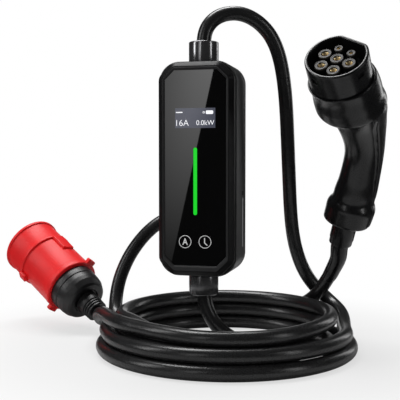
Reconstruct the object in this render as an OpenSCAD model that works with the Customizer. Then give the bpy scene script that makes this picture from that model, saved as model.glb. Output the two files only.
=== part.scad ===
// Portable charging lead for an electric car. A control box stands above a coil of cable,
// with a seven-contact vehicle connector on one end and a red five-pin supply plug on the other.
// Millimetres, +Z up, the coil rests on Z = 0 and the box faces -Y.

/* [Control box] */

// Width of the rear shell
box_w = 77; // [74:0.5:80]
// Height of the rear shell
box_h = 208; // [204:1:211]
// Depth of the rear shell
shell_d = 50; // [48:1:54]
// Wall of the rear shell
wall = 3; // [2.4:0.1:3.4]
// Corner radius of the case seen from the front
corner_r = 20; // [17:0.5:22]
// Rounding of the rear edges
back_r = 5; // [4:0.5:6]
// Depth of the front frame
frame_d = 9.5; // [9:0.5:11]
// Width of the bevel round the front frame
bevel = 4.5; // [3.5:0.5:5]
// Thickness of the gasket between shell and frame
gasket_t = 1.3; // [1:0.1:1.6]

/* [Front glass] */

// Width of the front glass
glass_w = 60; // [57:0.5:61]
// Height of the front glass
glass_h = 187; // [184:1:188]
// Corner cut of the front glass
glass_cut = 9; // [8:0.5:10]
// Thickness of the front glass
glass_t = 2; // [1.6:0.2:2.4]
// Width of the display
display_w = 39.5; // [36:0.5:42]
// Height of the display
display_h = 19; // [17:0.5:20]
// Width of the light bar
bar_w = 3.8; // [3:0.1:4.4]
// Length of the light bar
bar_h = 65; // [60:1:68]

/* [Cable and glands] */

// Diameter of the cable
cord_d = 14.5; // [14.3:0.1:14.6]
// Diameter of the cable glands on the box
gland_d = 29.5; // [28:0.5:31]
// Length of the cable glands on the box
gland_l = 21.5; // [20:0.5:22]

/* [Vehicle connector] */

// Outer radius of the connector sleeve
sleeve_r = 28; // [27.5:0.1:28.4]
// Distance of the flat side of the sleeve from its centre
flat_y = 24.4; // [23.8:0.1:24.8]
// Wall of the connector sleeve
sleeve_wall = 3; // [2.6:0.1:3.2]
// Bore of the power contacts
contact_bore_d = 6; // [5.8:0.1:6.1]
// Bore of the signal contacts
signal_bore_d = 3; // [2.8:0.1:3.1]

/* [Supply plug] */

// Outer radius of the red shroud
shroud_r = 31.5; // [30.5:0.5:32.5]
// Wall of the red shroud
shroud_wall = 3; // [2.5:0.1:3.4]
// Diameter of the phase and neutral pins
pin_d = 5; // [4.6:0.1:5.4]
// Diameter of the earth pin
earth_d = 7; // [6.6:0.1:7.4]

/* [Hidden] */

$fn = 96;
cord_r = cord_d / 2;
fit = 0.15;

// where the box, the connector and the plug stand
box_x = -22;
box_y = -6;
box_z = 181.5;
connector_at = [114, -82, 280];
connector_turn = [44, 22, -30];
plug_at = [-153.5, 39, 23.5];
plug_turn = [62, 0, -119];
// where the angles of the coil are counted from, in degrees
coil_zero = 14;

// control box
shell_front = -shell_d / 2;
shell_back = shell_d / 2;
frame_back = shell_front - gasket_t;
frame_front = frame_back - frame_d;
frame_w = box_w - 2;
frame_h = box_h - 2;
glass_inset = 1;
glass_front = frame_front + glass_inset;
glass_z = box_z + 1.2;
ledge = 2.5;
display_z = box_z + 49;
bar_z = box_z - 11.5;
inlay = 0.8;
board_w = 62;
board_h = 184;
board_t = 1.6;
board_y = -12;
standoff_d = 7;
screw_d = 3;
screw_head_d = 6;
screw_x = 27;
screw_z = 82;
screw_len = 45;
slot_w = 2.4;
slot_h = 3.4;
slot_y = 4;
slot_z = 156;
groove_w = 0.8;
groove_h = 48;
groove_y = 5;
groove_z = 129;
groove_deep = 0.6;

// inner pieces of the control box
relay_w = 22;
relay_h = 18;
relay_top = 18;
relay_x = 14;
relay_step = 12;
relay_z = box_z - 30;
sensor_r = 17;
sensor_hole_r = 9;
sensor_t = 12;
sensor_z = box_z + 48;
supply_w = 40;
supply_h = 24;
supply_top = 20;
supply_z = box_z + 12;
terminal_w = 36;
terminal_h = 14;
terminal_top = 20;
terminal_out = 80;
terminal_step = 6.8;
terminal_hole_w = 3.6;
terminal_hole_d = 5;
terminal_hole_h = 8.1;
terminal_hole_up = 10;
terminal_hole_out = 3;
tail_out = 87;

// glands
gland_r = gland_d / 2;
gland_top = box_z + box_h / 2 + gland_l;
gland_low = box_z - box_h / 2 - gland_l;
gland_edge = 1.2;
nut_r = 18;
nut_t = 5;
thread_r = 11;

// coil: the turns of each lead lie beside and on each other
turn_pitch = 14.3;
turn_r = 7.3;
lie_z = turn_pitch / 2;
inner_r = 104.5;
split_r = inner_r + cord_r;
outer_low_r = 123.5;
outer_mid_r = 119;
outer_mid_z = 21;
top_r = 104;
step_r = 91.5;
step_z = 27.2;
mid_z = lie_z + turn_pitch;
top_z = lie_z + 2 * turn_pitch;
outer_low_span = [120, 390];
outer_mid_span = [190, 360];
outer_back_span = [60, 140];
inner_low_span = [-30, 255];
top_span = [-10, 190];
step_span = [232, 345];

function on_turn(a, r, z) = [r * cos(a + coil_zero), r * sin(a + coil_zero), z];
function along_turn(a) = [sin(a + coil_zero), -cos(a + coil_zero), 0];

// connector: stations of the handle as centre y, centre z, tilt, half width, half depth
handle_stations = [
  [0.5, -26, 0, 30.5, 30.5], [2, -36, -3, 31.5, 31.5], [4, -50, -4, 32, 32],
  [6, -64, -4, 32, 32], [7, -73, -3, 31, 31.5], [8.5, -79, -2, 27.5, 29.5],
  [9.5, -86, 0, 23.5, 27], [10, -96, 3, 20.5, 24.5], [9, -108, 8, 18.8, 22],
  [6, -125, 16, 18, 20.5], [-1, -141, 24, 18.5, 20.3], [-9.5, -156, 30, 19, 20.8],
  [-20, -172, 33, 20, 21.3], [-28.5, -183, 34, 21.3, 22], [-33, -189.5, 35, 24, 24],
  [-38, -197, 35, 24.5, 24.5], [-42.5, -203, 35, 22.5, 22.5]
];
handle_sides = 30;
spine_half = 3;
spine_lift = 0.9;
handle_wall = 3.4;
handle_front = 26;
front_wall = 4;
handle_end = handle_stations[len(handle_stations) - 1];
neck_hole_r = 20;
neck_hole_l = 16;
base_t = 3;
base_z = base_t - handle_front;
carrier_t = 5;
tower_top = 2.5;
tower_r = 5.7;
signal_tower_r = 3.7;
socket_floor = 2;
socket_wall = 0.4;
socket_top = 4;
tail_r = 2.2;
tail_l = 12;
potting_t = 16;
power_spots = [[0, 0], [13.45, 0], [-13.45, 0], [6.7, -13.1], [-6.7, -13.1]];
signal_spots = [[6.9, 11], [-6.9, 11]];
pocket_w = 6;
pocket_h = 4;
pocket_z = 9;
pocket_deep = 1.6;
pocket_turns = [-97, -6, 186];
collar_r = 12.4;
collar_end_r = 11.7;
collar_l = 14;
collar_step = 0.6;
collar_edge = 1.5;
cord_hole_l = 12;
relief_r = 8.8;
relief_end_r = 7.6;

// plug
neck_r = 12.6;
neck_l = 20;
neck_shares = [
  [0.9, 0], [0.95, 0.04], [0.95, 0.17], [0.87, 0.2], [0.87, 0.25], [0.97, 0.27], [0.97, 0.37], [0.88, 0.4],
  [0.88, 0.45], [0.98, 0.47], [0.98, 0.57], [0.9, 0.6], [0.9, 0.65], [1.02, 0.68], [1.05, 1]
];
housing_r = 28;
housing_l = 30;
housing_shares = [
  [0.48, 0], [0.52, 0.03], [0.64, 0.08], [0.77, 0.17], [0.88, 0.28], [0.94, 0.43], [0.975, 0.6],
  [0.985, 0.7], [0.965, 0.715], [0.965, 0.74], [0.99, 0.755], [1, 1]
];
housing_bore_r = 22.5;
housing_back = 12;
shroud_z = neck_l + housing_l;
flange_l = 7;
flange_r = 32;
ring_z = shroud_z + 53;
ring_l = 4;
ring_r = 34;
front_r = 32.5;
lip_z = shroud_z + 84;
lip_l = 4;
lip_edge = 1;
mouth_r = front_r - shroud_wall - 1;
plug_floor = shroud_z + 12;
carrier_r = 20;
insert_l = 12;
pin_circle = 13.6;
pin_l = 36;
pin_back = 8;
pin_tip = 2;
key_turn = -40;
rib_in = 4;
key_w = 16;
key_out = 3;
key_z = shroud_z + 19;
key_slot_w = 10;
key_slot_r = shroud_r - 0.5;
ear_w = 14;
ear_out = 5;
ear_in = 0.5;
ear_turn = 25;
lug_w = 10;
lug_l = 8;
lug_out = 5;
lug_turn = 175;

// routes of the uncoiled stretches, row frame
run_z = cord_r;
arc_route = [
  [-22, -6, gland_top], [-21.5, -5.7, 312], [-19.3, -4.4, 320.5], [-14, -2, 328.3], [-6.5, 2, 333.8],
  [3, 7, 336.5], [13, 12, 336], [22.5, 16.8, 332.3], [31, 21.7, 326], [38, 26.4, 317.8], [44, 31, 306],
  [50, 38, 281], [53, 46, 245], [54, 53.5, 205], [54.6, 61, 168], [55.2, 69, 136], [57.5, 78, 106],
  [62.8, 87.5, 81.5], [71, 96.5, 62], [81.8, 101.8, 47.5], [94, 98.5, 37], [105.5, 84.5, 29.5],
  [111.8, 62, 24.5], on_turn(0, outer_mid_r, outer_mid_z)
];
loop_route = [
  on_turn(190, outer_mid_r, outer_mid_z), [-116.8, -29.3, 21.6], [-119.5, -9, 21.6], [-121.8, 6, 23],
  [-124.6, 17, 28.5], [-127, 25, 37], [-128, 32, 48], [-127, 37.5, 60], [-124, 42.3, 72], [-118.5, 48, 86],
  [-110.5, 54.8, 100], [-100.5, 62, 112.5], [-89, 69.5, 122], [-76.3, 78.5, 127.3], [-63.5, 90.5, 126.5],
  [-55, 106.5, 117], [-52, 125.5, 96], [-54.5, 144.5, 66], [-58, 161, 41], [-57.3, 177.5, 22.5],
  [-49, 192, 11.5], [-32, 203, run_z], [-8, 208.5, run_z], [21, 204, run_z], [50, 188, run_z],
  [73, 160, run_z], [88, 124, run_z], on_turn(30, outer_low_r, lie_z)
];
handle_tilt = handle_end[2];
function turned_x(p, a) = [p[0], p[1] * cos(a) - p[2] * sin(a), p[1] * sin(a) + p[2] * cos(a)];
function turned_y(p, a) = [p[0] * cos(a) + p[2] * sin(a), p[1], p[2] * cos(a) - p[0] * sin(a)];
function turned_z(p, a) = [p[0] * cos(a) - p[1] * sin(a), p[0] * sin(a) + p[1] * cos(a), p[2]];
function turned(p, a) = turned_z(turned_y(turned_x(p, a[0]), a[1]), a[2]);
collar_out = [0, handle_end[0] - collar_l * sin(handle_tilt), handle_end[1] - collar_l * cos(handle_tilt)];
collar_at = connector_at + turned(collar_out, connector_turn);
collar_way = turned([0, -sin(handle_tilt), -cos(handle_tilt)], connector_turn);
relief_route = [collar_at, [106.9, 57.4, 90], [104.2, 62, 82.5], [101, 66, 76], [95.5, 71.5, 66]];
riser_route = [
  on_turn(60, outer_mid_r, outer_mid_z), [51, 108.5, 25.2], [71, 96.3, 35.5], [87, 80, 52.5], [95.5, 71.5, 66]
];
drop_route = [
  [-22, -6, gland_low], [-21.6, -6, 53], [-19.6, -6.2, 44.5], [-15.5, -7, 35], [-9, -8.3, 26],
  [0, -10, 18.3], [12, -11.4, 12.2], [25.5, -11.6, 8.6], [40, -11.5, run_z], [53.5, -14, run_z],
  [64.5, -20.5, run_z], [71.3, -30.5, run_z], [73.6, -43.5, run_z], [70, -56, run_z], [60.5, -67, run_z],
  [46.5, -78, run_z], [28.5, -90, run_z], on_turn(255, inner_r, lie_z)
];
plug_way = turned([0, 0, -1], plug_turn);
plug_route = [
  on_turn(350, top_r, top_z), on_turn(340, 104.4, 36.1), on_turn(328, 105.6, 36.1), on_turn(316, 107.6, 35.8),
  on_turn(304, 109.8, 35.3), on_turn(292, 111.6, 34.8), on_turn(280, 112.4, 34.5), on_turn(266, 112.4, 34.5),
  on_turn(252, 111.2, 34.8), on_turn(241, 109.6, 35.4), on_turn(230, 109, 35.9), on_turn(220, 110, 36.4),
  on_turn(211, 113.3, 36.9), [-98, -62.5, 37], [-112.6, -42, 36.9], [-122.8, -26.5, 35.2], [-130.3, -14, 31.5],
  [-135.4, 0, 26.3], [-138.3, 12, 22], [-141.8, 22.8, 20.2], [-146.8, 31.2, 20.6], plug_at
];
climb_route = [
  on_turn(232, step_r, step_z), on_turn(226, 91, 28), on_turn(218, 92.2, 29.8), on_turn(210, 95, 32.6),
  on_turn(200, 99, 35.3), on_turn(190, top_r, top_z)
];
tube_sides = 10;

// shared shapes

// a rectangle with round corners, drawn about its middle
module round_rect(w, h, r) {
  square([w - 2 * r, h], center = true);
  square([w, h - 2 * r], center = true);
  for (sx = [-1, 1], sy = [-1, 1])
    translate([sx * (w / 2 - r), sy * (h / 2 - r)])
      circle(r = r);
}

// a rectangle with cut corners, drawn about its middle
module cut_rect(w, h, c) {
  polygon([
    [-w / 2 + c, -h / 2], [w / 2 - c, -h / 2], [w / 2, -h / 2 + c], [w / 2, h / 2 - c],
    [w / 2 - c, h / 2], [-w / 2 + c, h / 2], [-w / 2, h / 2 - c], [-w / 2, -h / 2 + c]
  ]);
}

// an upright outline in the XZ plane, from y0 to y1
module upright(y0, y1) {
  translate([0, y1, 0])
    rotate([90, 0, 0])
      linear_extrude(y1 - y0)
        children();
}

// the outline of the case with its rear edges rounded
module shell_body(w, h, r, e, y0, y1) {
  upright(y0, y1 - e)
    round_rect(w, h, r);
  upright(y0, y1)
    round_rect(w - 2 * e, h - 2 * e, r - e);
  for (s = [-1, 1]) {
    translate([s * (w / 2 - e), y1 - e, 0])
      cylinder(r = e, h = h - 2 * r, center = true);
    translate([0, y1 - e, s * (h / 2 - e)])
      rotate([0, 90, 0])
        cylinder(r = e, h = w - 2 * r, center = true);
  }
  for (sx = [-1, 1], sz = [-1, 1])
    translate([sx * (w / 2 - r), y1 - e, sz * (h / 2 - r)])
      rotate([90, 0, 0])
        rotate_extrude()
          translate([r - e, 0])
            circle(r = e);
}

// a bar whose section is bevelled on the front side, running along Z
module bevel_bar(w, l, c, y0, y1) {
  translate([0, 0, -l / 2])
    linear_extrude(l)
      polygon([[-w / 2, y1], [-w / 2, y0 + c], [-w / 2 + c, y0], [w / 2 - c, y0], [w / 2, y0 + c], [w / 2, y1]]);
}

// the round-cornered frame with a bevel on its front
module bevel_body(w, h, r, c, y0, y1) {
  upright(y0 + c, y1)
    round_rect(w, h, r);
  bevel_bar(w, h - 2 * r, c, y0, y1);
  rotate([0, 90, 0])
    bevel_bar(h, w - 2 * r, c, y0, y1);
  for (sx = [-1, 1], sz = [-1, 1])
    translate([sx * (w / 2 - r), y0, sz * (h / 2 - r)])
      rotate([-90, 0, 0])
        cylinder(r1 = r - c, r2 = r, h = c);
}

// sweep of a round section along a route
function unit(v) = v / norm(v);
function ways(p, a, b) = [
  for (i = [0 : len(p) - 1]) i == 0 ? a : i == len(p) - 1 ? b : unit(unit(p[i + 1] - p[i]) + unit(p[i] - p[i - 1]))
];
function square_to(u, t) = unit(u - t * (u * t));
function sides_of(t, u, i = 0) = i >= len(t) ? [] : let (v = square_to(u, t[i])) concat([v], sides_of(t, v, i + 1));
function ring_at(p, t, u, r, n) = let (w = cross(t, u), s = 360 / n) [
  for (j = [0 : n - 1]) p + r * (cos(s * (j + 0.5)) * u + sin(s * (j + 0.5)) * w)
];
function flat_list(l) = [for (a = l) for (b = a) b];
function skin(m, n) = [
  for (i = [0 : m - 2], j = [0 : n - 1]) each [
    [i * n + j, (i + 1) * n + j, i * n + (j + 1) % n],
    [i * n + (j + 1) % n, (i + 1) * n + j, (i + 1) * n + (j + 1) % n]
  ]
];

module tube(p, a, b, r0, r1, n) {
  t = ways(p, a, b);
  u = sides_of(t, abs(a[2]) > 0.9 ? [1, 0, 0] : [0, 0, 1]);
  m = len(p);
  points = flat_list([for (i = [0 : m - 1]) ring_at(p[i], t[i], u[i], r0 + (r1 - r0) * i / (m - 1), n)]);
  ends = [[for (j = [0 : n - 1]) j], [for (j = [0 : n - 1]) m * n - 1 - j]];
  polyhedron(points = points, faces = concat(skin(m, n), ends), convexity = 6);
}

// a turn of cable, cut flat where it rests and where the two leads lie side by side
module turn(r, z, span, cut_out = false, cut_in = false, rest = false) {
  rotate([0, 0, span[0] + coil_zero])
    rotate_extrude(angle = span[1] - span[0])
      difference() {
        translate([r, z])
          circle(r = turn_r);
        if (cut_out)
          translate([split_r, z - turn_pitch])
            square([turn_pitch, 2 * turn_pitch]);
        if (cut_in)
          translate([split_r - turn_pitch, z - turn_pitch])
            square([turn_pitch, 2 * turn_pitch]);
        if (rest)
          translate([r - turn_pitch, -turn_pitch])
            square([2 * turn_pitch, turn_pitch]);
      }
}

module at_box() {
  translate([box_x, box_y, 0])
    children();
}

module at_connector() {
  translate(connector_at)
    rotate(connector_turn)
      children();
}

module at_plug() {
  translate(plug_at)
    rotate(plug_turn)
      children();
}

// control box

module screw_spots() {
  for (sx = [-1, 1], sz = [-1, 1])
    translate([sx * screw_x, 0, box_z + sz * screw_z])
      children();
}

module rear_shell() {
  color([0.13, 0.13, 0.14])
    at_box()
      difference() {
        translate([0, 0, box_z])
          difference() {
            shell_body(box_w, box_h, corner_r, back_r, shell_front, shell_back);
            upright(shell_front - wall, shell_back - wall)
              round_rect(box_w - 2 * wall, box_h - 2 * wall, corner_r - wall);
          }
        translate([0, 0, box_z - box_h / 2 - wall])
          cylinder(r = thread_r, h = box_h + 2 * wall);
        screw_spots()
          rotate([-90, 0, 0])
            cylinder(r = screw_d / 2 + fit, h = shell_d);
        screw_spots()
          translate([0, shell_back - wall / 2, 0])
            rotate([-90, 0, 0])
              cylinder(r = screw_head_d / 2 + fit, h = wall);
        translate([box_w / 2 - wall / 2, slot_y, slot_z])
          cube([wall, slot_w, slot_h]);
        translate([box_w / 2 - groove_deep, groove_y, groove_z - groove_h / 2])
          cube([wall, groove_w, groove_h]);
      }
}

module gasket() {
  color([0.03, 0.03, 0.03])
    at_box()
      translate([0, 0, box_z])
        difference() {
          upright(frame_back, shell_front)
            round_rect(box_w - wall, box_h - wall, corner_r - wall / 2);
          upright(frame_back - wall, shell_front + wall)
            round_rect(box_w - 3 * wall, box_h - 3 * wall, corner_r - 1.5 * wall);
        }
}

module front_frame() {
  color([0.09, 0.09, 0.10])
    at_box()
      difference() {
        translate([0, 0, box_z])
          bevel_body(frame_w, frame_h, corner_r, bevel, frame_front, frame_back);
        translate([0, 0, glass_z])
          upright(frame_front - wall, glass_front + glass_t)
            cut_rect(glass_w + 2 * fit, glass_h + 2 * fit, glass_cut);
        translate([0, 0, glass_z])
          upright(frame_front, frame_back + wall)
            cut_rect(glass_w - 2 * ledge, glass_h - 2 * ledge, glass_cut);
      }
}

module bar_outline(w, h) {
  square([w, h - w], center = true);
  for (s = [-1, 1])
    translate([0, s * (h - w) / 2])
      circle(r = w / 2);
}

module front_glass() {
  color([0.01, 0.01, 0.012])
    at_box()
      difference() {
        translate([0, 0, glass_z])
          upright(glass_front, glass_front + glass_t)
            cut_rect(glass_w, glass_h, glass_cut);
        translate([0, 0, display_z])
          upright(glass_front - wall, glass_front + inlay)
            square([display_w, display_h], center = true);
        translate([0, 0, bar_z])
          upright(glass_front - wall, glass_front + glass_t + wall)
            bar_outline(bar_w, bar_h);
      }
}

module display() {
  color([0.16, 0.17, 0.22])
    at_box()
      translate([0, 0, display_z])
        upright(glass_front, glass_front + inlay)
          square([display_w, display_h], center = true);
}

module light_bar() {
  color([0.1, 0.9, 0.15])
    at_box()
      translate([0, 0, bar_z])
        difference() {
          union() {
            upright(glass_front, glass_front + glass_t)
              bar_outline(bar_w, bar_h);
            upright(glass_front + glass_t, board_y)
              square([bar_w, bar_h - 2 * bar_w], center = true);
          }
          for (s = [-1, 1])
            translate([0, 0, s * bar_h / 5])
              upright(glass_front + 2 * glass_t, board_y - glass_t)
                square([2 * bar_w, bar_h / 5], center = true);
        }
}

module main_board() {
  color([0.05, 0.30, 0.14])
    at_box()
      translate([0, 0, box_z])
        difference() {
          upright(board_y, board_y + board_t)
            square([board_w, board_h], center = true);
          for (sx = [-1, 1], sz = [-1, 1])
            translate([sx * screw_x, 0, sz * screw_z])
              rotate([90, 0, 0])
                cylinder(r = screw_d / 2 + fit, h = shell_d, center = true);
        }
}

module board_standoffs() {
  color([0.13, 0.13, 0.14])
    at_box()
      screw_spots()
        difference() {
          union() {
            translate([0, board_y + board_t, 0])
              rotate([-90, 0, 0])
                cylinder(r = standoff_d / 2, h = shell_back - wall - board_y - board_t);
            translate([0, frame_back, 0])
              rotate([-90, 0, 0])
                cylinder(r = standoff_d / 2, h = board_y - frame_back);
          }
          translate([0, frame_back - wall, 0])
            rotate([-90, 0, 0])
              cylinder(r = screw_d / 2, h = shell_d + 2 * wall);
        }
}

module relays() {
  color([0.10, 0.22, 0.45])
    at_box()
      for (sx = [-1, 1], sz = [-1, 1])
        translate([sx * relay_x, 0, relay_z + sz * relay_step])
          upright(board_y + board_t, board_y + relay_top)
            square([relay_w, relay_h], center = true);
}

module leakage_sensor() {
  color([0.07, 0.07, 0.08])
    at_box()
      translate([0, board_y + board_t, sensor_z])
        rotate([-90, 0, 0])
          difference() {
            cylinder(r = sensor_r, h = sensor_t);
            translate([0, 0, -wall])
              cylinder(r = sensor_hole_r, h = sensor_t + 2 * wall);
          }
}

module supply_block() {
  color([0.20, 0.20, 0.21])
    at_box()
      translate([0, 0, supply_z])
        upright(board_y + board_t, board_y + supply_top)
          square([supply_w, supply_h], center = true);
}

module terminal_blocks() {
  color([0.12, 0.40, 0.20])
    at_box()
      for (s = [-1, 1])
        translate([0, board_y, box_z + s * terminal_out])
          difference() {
            upright(board_t, terminal_top)
              square([terminal_w, terminal_h], center = true);
            for (i = [-2 : 2])
              translate([i * terminal_step, terminal_hole_up, s * terminal_hole_out])
                cube([terminal_hole_w, terminal_hole_d, terminal_hole_h], center = true);
          }
}

module case_screws() {
  color([0.55, 0.56, 0.58])
    at_box()
      screw_spots() {
        translate([0, shell_back - wall / 2 - screw_len, 0])
          rotate([-90, 0, 0])
            cylinder(r = screw_d / 2, h = screw_len);
        translate([0, shell_back - wall / 2, 0])
          rotate([-90, 0, 0])
            difference() {
              cylinder(r = screw_head_d / 2, h = wall / 2);
              translate([0, 0, wall / 4])
                cylinder(r = screw_d / 2, h = wall, $fn = 6);
            }
      }
}

// a gland standing on the case wall, its clamping cap upward
module gland_body() {
  difference() {
    rotate_extrude()
      polygon([
        [0, -wall - nut_t], [thread_r, -wall - nut_t], [thread_r, 0], [gland_r, 0],
        [gland_r, gland_l - gland_edge], [gland_r - gland_edge, gland_l], [0, gland_l]
      ]);
    translate([0, 0, -2 * wall - nut_t])
      cylinder(r = cord_r, h = gland_l + 4 * wall + nut_t);
  }
}

module top_gland() {
  color([0.08, 0.08, 0.085])
    at_box()
      translate([0, 0, box_z + box_h / 2])
        gland_body();
}

module bottom_gland() {
  color([0.08, 0.08, 0.085])
    at_box()
      translate([0, 0, box_z - box_h / 2])
        rotate([180, 0, 0])
          gland_body();
}

module gland_nuts() {
  color([0.16, 0.16, 0.17])
    at_box()
      for (s = [-1, 1])
        translate([0, 0, box_z + s * (box_h / 2 - wall - nut_t / 2)])
          difference() {
            cylinder(r = nut_r, h = nut_t, center = true, $fn = 6);
            cylinder(r = thread_r, h = 2 * nut_t, center = true);
          }
}

module cord_tails() {
  color([0.09, 0.09, 0.10])
    at_box() {
      translate([0, 0, box_z + tail_out])
        cylinder(r = cord_r, h = gland_top - box_z - tail_out);
      translate([0, 0, gland_low])
        cylinder(r = cord_r, h = box_z - tail_out - gland_low);
    }
}

// vehicle connector

module sleeve_outline(r, f) {
  difference() {
    circle(r = r);
    translate([-r, f])
      square([2 * r, r]);
  }
}

module connector_sleeve() {
  color([0.07, 0.07, 0.075])
    at_connector()
      difference() {
        translate([0, 0, -handle_front])
          linear_extrude(handle_front)
            sleeve_outline(sleeve_r, flat_y);
        translate([0, 0, base_z])
          linear_extrude(handle_front)
            sleeve_outline(sleeve_r - sleeve_wall, flat_y - sleeve_wall);
        translate([0, 0, -handle_front - base_t])
          cylinder(r = neck_hole_r, h = 3 * base_t);
        for (a = pocket_turns)
          rotate([0, 0, a])
            translate([sleeve_r - pocket_deep, -pocket_w / 2, -pocket_z - pocket_h / 2])
              cube([2 * pocket_deep, pocket_w, pocket_h]);
      }
}

module contact_carrier() {
  color([0.05, 0.05, 0.055])
    at_connector()
      difference() {
        union() {
          translate([0, 0, base_z])
            linear_extrude(carrier_t)
              sleeve_outline(sleeve_r - sleeve_wall - fit, flat_y - sleeve_wall - fit);
          for (s = power_spots)
            translate([s[0], s[1], base_z])
              cylinder(r = tower_r, h = -base_z - tower_top);
          for (s = signal_spots)
            translate([s[0], s[1], base_z])
              cylinder(r = signal_tower_r, h = -base_z - tower_top);
        }
        for (s = power_spots) {
          translate([s[0], s[1], base_z + socket_floor])
            cylinder(r = contact_bore_d / 2 + socket_wall, h = handle_front);
          translate([s[0], s[1], -handle_front])
            cylinder(r = tail_r, h = handle_front / 2);
        }
        for (s = signal_spots) {
          translate([s[0], s[1], base_z + socket_floor])
            cylinder(r = signal_bore_d / 2 + socket_wall, h = handle_front);
          translate([s[0], s[1], -handle_front])
            cylinder(r = tail_r / 2, h = handle_front / 2);
        }
      }
}

// a socket with its tail, its mouth upward
module contact(bore, tail) {
  floor_z = base_z + socket_floor;
  difference() {
    union() {
      translate([0, 0, floor_z])
        cylinder(r = bore + socket_wall, h = -floor_z - socket_top);
      translate([0, 0, floor_z - tail_l])
        cylinder(r = tail, h = tail_l);
    }
    translate([0, 0, floor_z + socket_floor])
      cylinder(r = bore, h = handle_front);
  }
}

module power_contacts() {
  color([0.80, 0.66, 0.35])
    at_connector()
      for (s = power_spots)
        translate([s[0], s[1], 0])
          contact(contact_bore_d / 2, tail_r);
}

module signal_contacts() {
  color([0.80, 0.66, 0.35])
    at_connector()
      for (s = signal_spots)
        translate([s[0], s[1], 0])
          contact(signal_bore_d / 2, tail_r / 2);
}

module contact_potting() {
  color([0.12, 0.12, 0.13])
    at_connector()
      difference() {
        translate([0, 0, base_z - potting_t])
          cylinder(r = neck_hole_r, h = potting_t);
        for (s = power_spots)
          translate([s[0], s[1], base_z + socket_floor - tail_l])
            cylinder(r = tail_r, h = 2 * tail_l);
        for (s = signal_spots)
          translate([s[0], s[1], base_z + socket_floor - tail_l])
            cylinder(r = tail_r / 2, h = 2 * tail_l);
      }
}

// a point of a handle section, counted in steps round it
function handle_point(s, j, n, lift) = let (a = 90 + 360 * j / n) [
  (s[3] + lift) * cos(a), s[0] + (s[4] + lift) * sin(a) * cos(s[2]), s[1] - (s[4] + lift) * sin(a) * sin(s[2])
];
function bore_station(s) = [
  s[0] - (0.11 * s[4] - 0.3) * cos(s[2]), s[1] + (0.11 * s[4] - 0.3) * sin(s[2]), s[2],
  s[3] - handle_wall, 0.89 * s[4] - handle_wall
];

module loft(rows, n) {
  m = len(rows);
  ends = [[for (j = [0 : n - 1]) n - 1 - j], [for (j = [0 : n - 1]) (m - 1) * n + j]];
  turned_skin = [for (f = skin(m, n)) [f[0], f[2], f[1]]];
  polyhedron(points = flat_list(rows), faces = concat(turned_skin, ends), convexity = 6);
}

module connector_handle() {
  n = handle_sides;
  last = len(handle_stations) - 1;
  color([0.08, 0.08, 0.085])
    at_connector()
      difference() {
        loft([for (s = handle_stations) [for (j = [spine_half : n - spine_half]) handle_point(s, j, n, 0)]],
          n - 2 * spine_half + 1);
        loft([for (i = [1 : last - 1]) [for (j = [0 : n - 1])
          handle_point(bore_station(handle_stations[i]), j, n, 0)]], n);
        translate([0, 0, -handle_front - neck_hole_l])
          cylinder(r = neck_hole_r + fit, h = neck_hole_l + front_wall, $fn = 48);
        translate([0, handle_end[0], handle_end[1]])
          rotate([-handle_tilt, 0, 0])
            translate([0, 0, -wall])
              cylinder(r = cord_r, h = cord_hole_l, $fn = 24);
      }
}

module handle_spine() {
  n = handle_sides;
  k = 2 * spine_half + 1;
  color([0.14, 0.14, 0.15])
    at_connector()
      loft([for (s = handle_stations) [for (j = [-spine_half : spine_half])
        handle_point(s, j, n, abs(j) == spine_half ? 0 : spine_lift)]], k);
}

core_in = [0, 4, base_z - potting_t];
core_route = [
  collar_out, [0, handle_end[0], handle_end[1]], [0, -33.5, -190], [0, -21, -172], [0, -11, -156],
  [0, -2.5, -141], [0, 4, -125], [0, 6.5, -108], [0, 6.5, -90], [0, 5, -65], core_in
];

module connector_core() {
  color([0.09, 0.09, 0.10])
    at_connector()
      tube(core_route, [0, sin(handle_tilt), cos(handle_tilt)], [0, 0, 1], cord_r - fit, cord_r - fit, tube_sides);
}

module connector_collar() {
  color([0.06, 0.06, 0.065])
    at_connector()
      translate([0, handle_end[0], handle_end[1]])
        rotate([-handle_tilt, 0, 0])
          rotate_extrude()
            polygon([
              [cord_r, 0], [collar_r, 0], [collar_r, -collar_l / 2], [collar_r - collar_step, -collar_l / 2],
              [collar_end_r, collar_edge - collar_l], [collar_end_r - collar_edge, -collar_l], [cord_r, -collar_l]
            ]);
}

module connector_relief() {
  color([0.08, 0.08, 0.085])
    tube(relief_route, collar_way, unit(relief_route[4] - relief_route[3]), relief_r, relief_end_r, tube_sides);
}

// supply plug

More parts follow.
